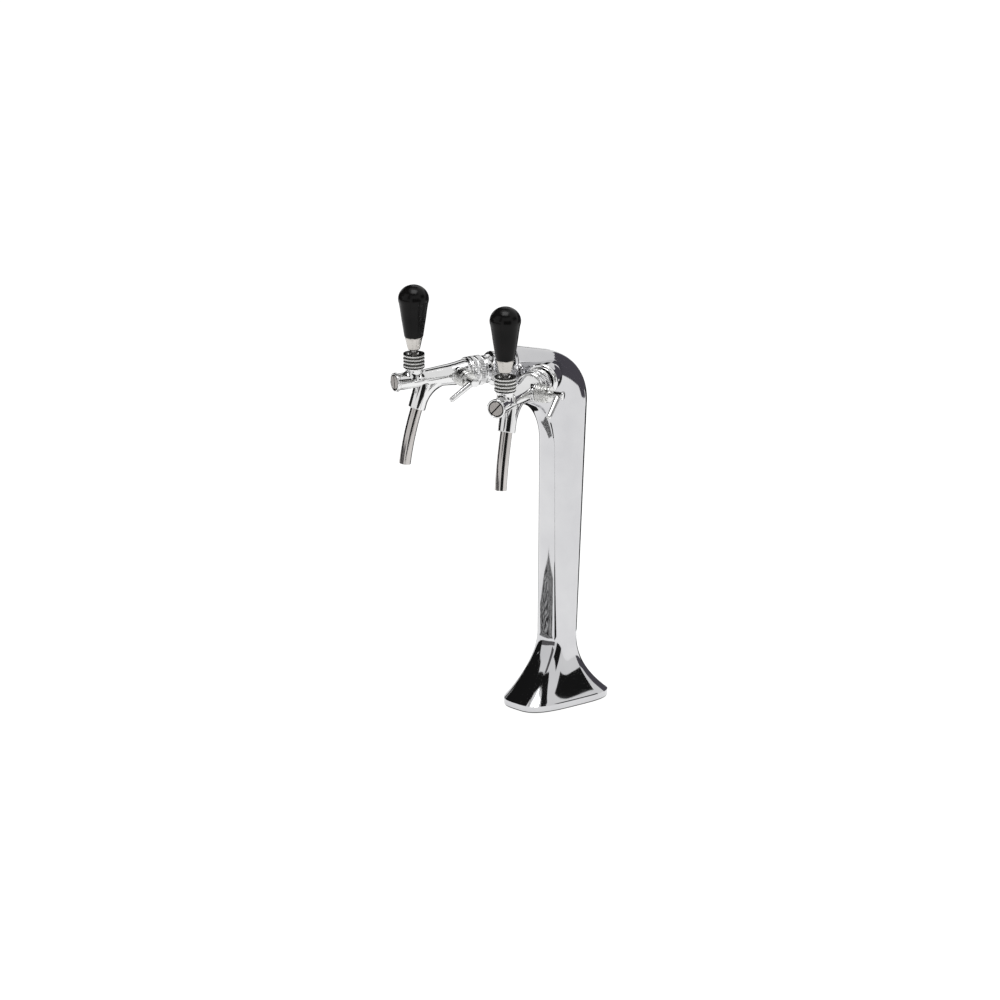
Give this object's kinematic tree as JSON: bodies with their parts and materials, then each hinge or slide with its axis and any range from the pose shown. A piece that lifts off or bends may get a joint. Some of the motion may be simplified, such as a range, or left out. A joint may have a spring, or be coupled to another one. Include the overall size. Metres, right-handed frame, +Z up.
{
  "type": "beer tap tower",
  "caption": "Chromed swan-neck beer tower: a flared foot, a column bent forward at the head, splayed flow-control taps with black tilting handles and curved spouts.",
  "frame": {"origin": "underside of the base gasket, on the centre line of the straight column", "axes": "+Z up the column, -Y towards the taps and the person who pulls the beer, +X to that person's right"},
  "size_m": [0.1895, 0.2399, 0.5112],
  "materials": {
    "column": "polished chrome plate on cast brass",
    "chrome": "polished chrome plate, knurled where it is gripped",
    "steel": "turned stainless steel",
    "brass": "bare turned brass",
    "handle": "glossy black moulded plastic",
    "rubber": "black moulded rubber",
    "white_plastic": "food-grade tube and moulding",
    "foam": "rigid insulating foam"
  },
  "bodies": {
    "tower": {"column_shell": "column", "nose_cap": "column", "base_plate": "steel", "base_gasket": "rubber", "counter_insert_1": "brass", "counter_insert_2": "brass", "counter_insert_3": "brass", "counter_insert_4": "brass", "shell_screw_1": "steel", "shell_screw_2": "steel", "shell_screw_3": "steel", "shell_screw_4": "steel", "insulation_core": "foam", "cooling_loop": "steel", "left_beer_line": "white_plastic", "right_beer_line": "white_plastic", "right_tap_body": "chrome", "right_front_cap": "steel", "right_cap_seal": "rubber", "right_collar_nut": "chrome", "right_lever_seal": "rubber", "right_spout_tube": "chrome", "right_spout_seal": "rubber", "right_flow_nut": "chrome", "right_coupling_nut": "chrome", "right_flange_ring": "chrome", "right_shank_seal": "rubber", "right_shank": "steel", "right_shank_locknut": "brass", "left_tap_body": "chrome", "left_front_cap": "steel", "left_cap_seal": "rubber", "left_collar_nut": "chrome", "left_lever_seal": "rubber", "left_spout_tube": "chrome", "left_spout_seal": "rubber", "left_flow_nut": "chrome", "left_coupling_nut": "chrome", "left_flange_ring": "chrome", "left_shank_seal": "rubber", "left_shank": "steel", "left_shank_locknut": "brass"},
    "right_handle": {"right_lever_stem": "steel", "right_handle_ferrule": "chrome", "right_handle_knob": "handle"},
    "right_valve": {"right_piston": "steel", "right_piston_seal": "rubber"},
    "right_flow_control": {"right_flow_stem": "chrome", "right_flow_lever": "chrome"},
    "right_flow_cone": {"right_flow_cone": "white_plastic"},
    "left_handle": {"left_lever_stem": "steel", "left_handle_ferrule": "chrome", "left_handle_knob": "handle"},
    "left_valve": {"left_piston": "steel", "left_piston_seal": "rubber"},
    "left_flow_control": {"left_flow_stem": "chrome", "left_flow_lever": "chrome"},
    "left_flow_cone": {"left_flow_cone": "white_plastic"}
  },
  "joints": [
    {"name": "right_handle_tilt", "type": "hinge", "parent": "tower", "child": "right_handle", "pos_m": [0.0695, -0.163, 0.424], "axis": [0.9483, 0.3173, 0], "range_deg": [0, 25]},
    {"name": "right_valve_slide", "type": "slide", "parent": "tower", "child": "right_valve", "axis": [-0.3173, 0.9483, 0], "range_m": [0, 0.0098]},
    {"name": "right_flow_turn", "type": "hinge", "parent": "tower", "child": "right_flow_control", "pos_m": [0.05268, -0.11274, 0.402], "axis": [0.9483, 0.3173, 0], "range_deg": [-38, 72]},
    {"name": "right_cone_slide", "type": "slide", "parent": "tower", "child": "right_flow_cone", "axis": [-0.3173, 0.9483, 0], "range_m": [-0.0014, 0.0014]},
    {"name": "left_handle_tilt", "type": "hinge", "parent": "tower", "child": "left_handle", "pos_m": [-0.0695, -0.163, 0.424], "axis": [0.9483, -0.3173, 0], "range_deg": [0, 25]},
    {"name": "left_valve_slide", "type": "slide", "parent": "tower", "child": "left_valve", "axis": [0.3173, 0.9483, 0], "range_m": [0, 0.0098]},
    {"name": "left_flow_turn", "type": "hinge", "parent": "tower", "child": "left_flow_control", "pos_m": [-0.05268, -0.11274, 0.402], "axis": [0.9483, -0.3173, 0], "range_deg": [-35, 75]},
    {"name": "left_cone_slide", "type": "slide", "parent": "tower", "child": "left_flow_cone", "axis": [0.3173, 0.9483, 0], "range_m": [-0.0014, 0.0014]}
  ],
  "couplings": [
    {"joint": "right_valve_slide", "follows": "right_handle_tilt", "m_per_rad": 0.022},
    {"joint": "right_cone_slide", "follows": "right_flow_turn", "m_per_rad": -0.001},
    {"joint": "left_valve_slide", "follows": "left_handle_tilt", "m_per_rad": 0.022},
    {"joint": "left_cone_slide", "follows": "left_flow_turn", "m_per_rad": -0.001}
  ]
}
